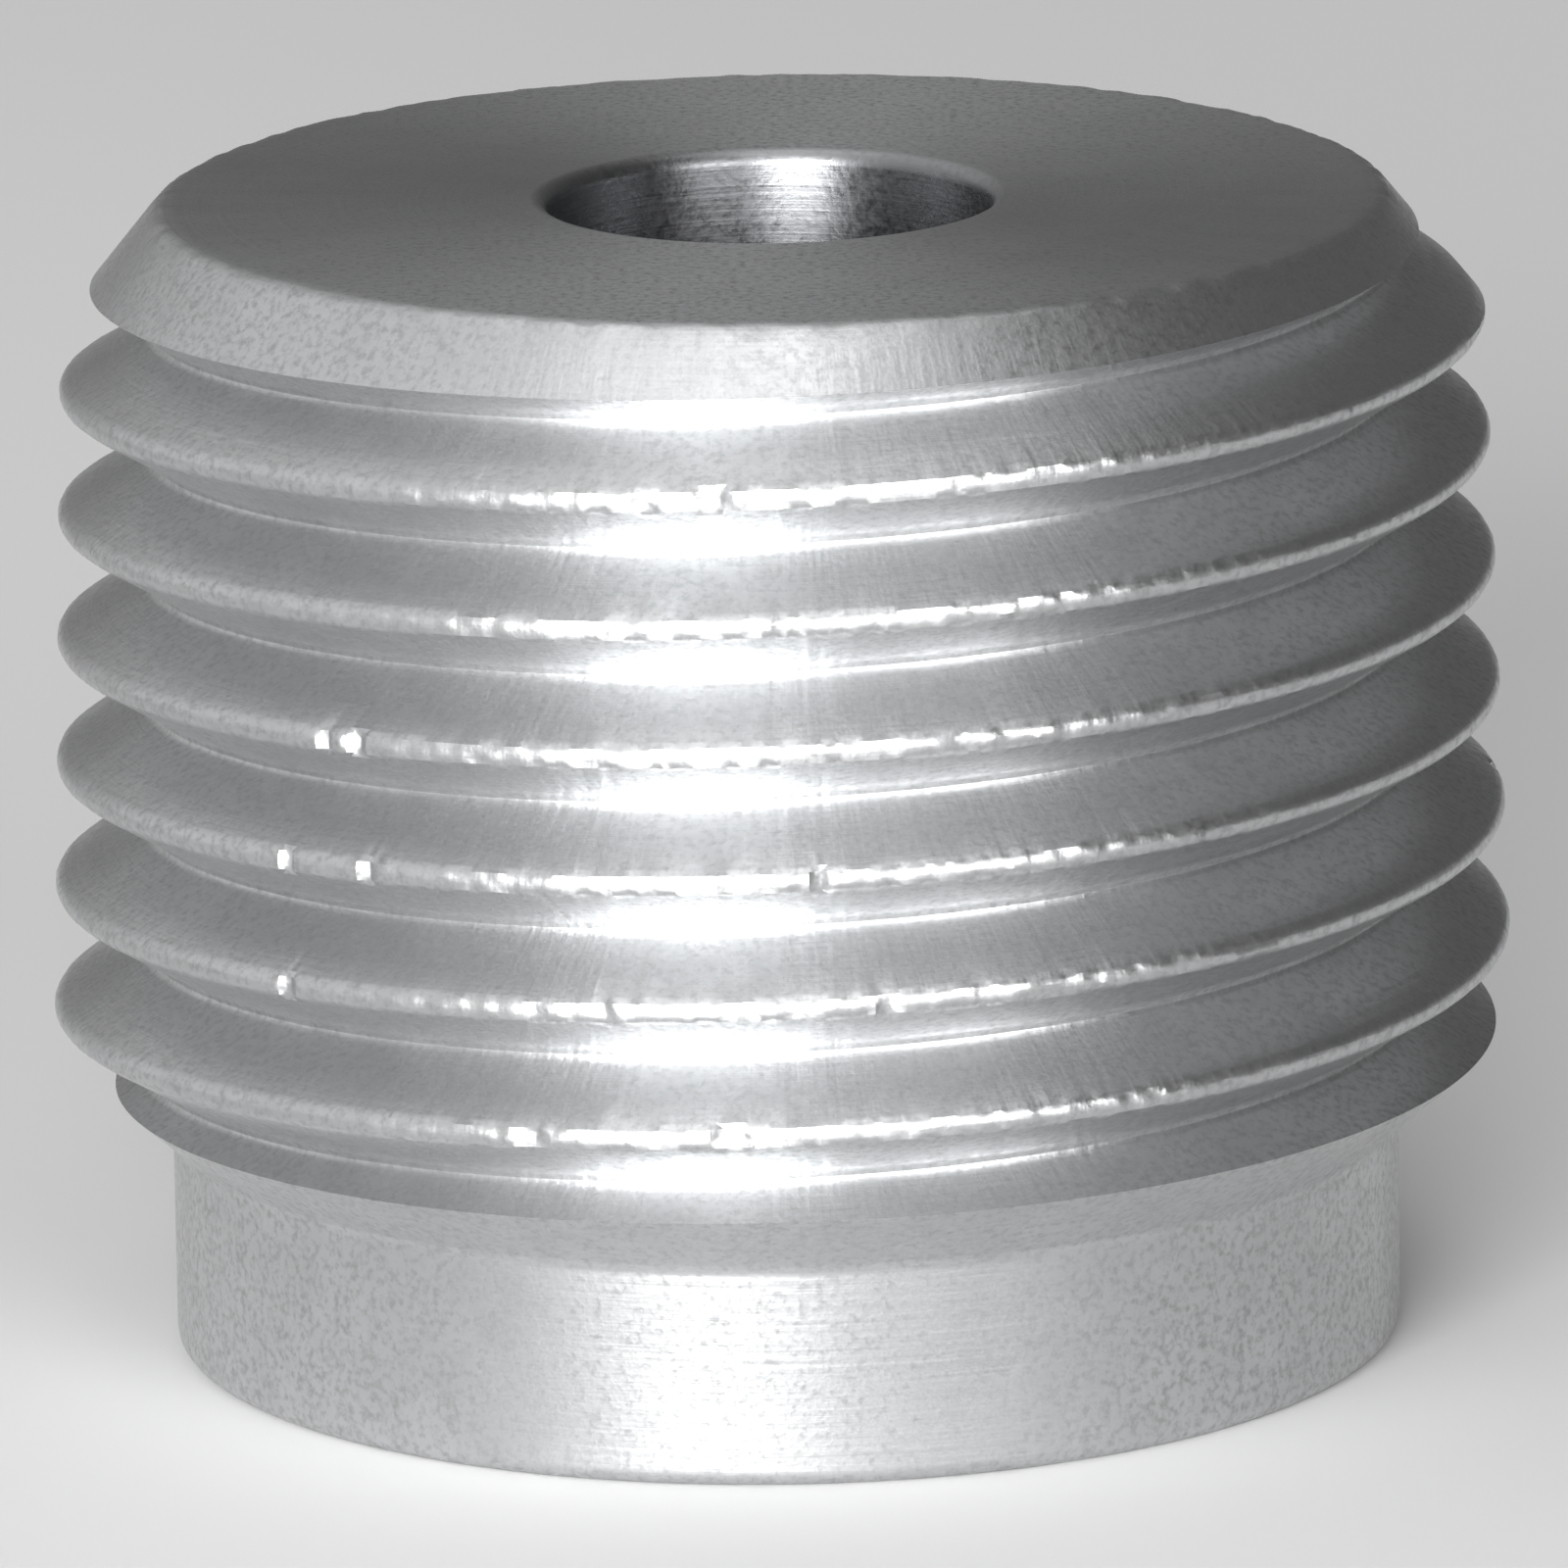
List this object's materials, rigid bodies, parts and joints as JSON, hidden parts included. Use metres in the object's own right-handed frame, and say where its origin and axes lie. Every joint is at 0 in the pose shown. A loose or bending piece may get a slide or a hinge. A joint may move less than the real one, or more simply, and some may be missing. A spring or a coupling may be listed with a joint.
{
  "type": "reducing bushing",
  "caption": "Plated steel reducing bushing: tapered male pipe thread over a plain round collar, rounded wire throat in the top face and a smaller threaded socket in the underside.",
  "frame": {"origin": "centre of the flat collar face that the bushing stands on, on the thread's axis", "axes": "+Z along the thread's axis, from the collar face to the top face; +X is the side where the lowest thread groove starts"},
  "size_m": [0.0214, 0.0214, 0.0168],
  "materials": {
    "zinc_plated_steel": "bright zinc plate over turned steel, fine turning marks, torn thread crests"
  },
  "bodies": {
    "root": {"reducing_bushing": "zinc_plated_steel"}
  },
  "joints": []
}
